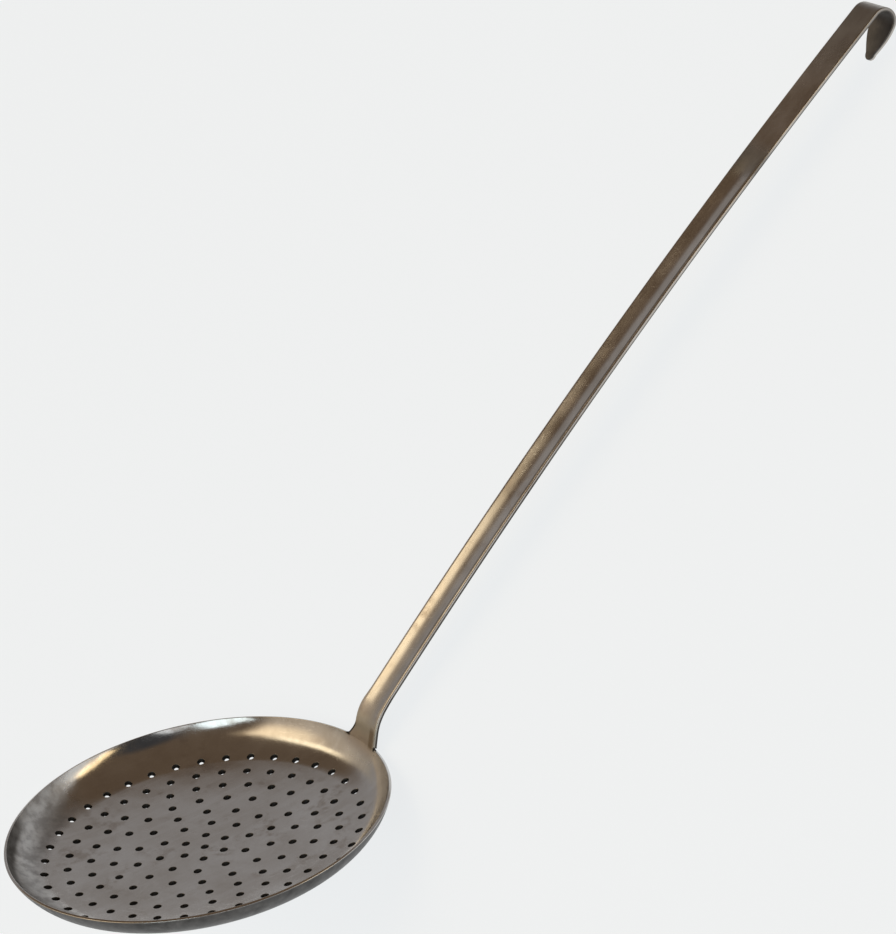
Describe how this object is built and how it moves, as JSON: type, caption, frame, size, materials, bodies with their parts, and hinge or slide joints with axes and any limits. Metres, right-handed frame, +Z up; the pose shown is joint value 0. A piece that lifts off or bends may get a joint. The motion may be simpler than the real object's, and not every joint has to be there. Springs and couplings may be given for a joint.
{
  "type": "perforated skimmer",
  "caption": "Kitchen skimmer: a shallow round steel dish punched with rings of small holes, on a long grooved strip handle that is welded to the rim and ends in a hook.",
  "frame": {"origin": "on the table under the middle of the skimmer's bounding box, as it lies at rest", "axes": "+X runs along the handle from the dish to the hook, +Y is across the handle, +Z is up from the table. The skimmer lies on the wall of its dish and the tip of its hook."},
  "size_m": [0.6368, 0.1998, 0.122],
  "materials": {
    "dish_steel": "stainless steel sheet, worn satin inside, with fine scratches and a polished wall",
    "handle_steel": "stainless steel strip, worn bright, with faint grinding marks along its length",
    "weld_steel": "ground weld with a straw to brown heat tint"
  },
  "bodies": {
    "root": {"perforated_dish": "dish_steel", "handle_strip": "handle_steel", "rim_weld": "weld_steel"}
  },
  "joints": []
}
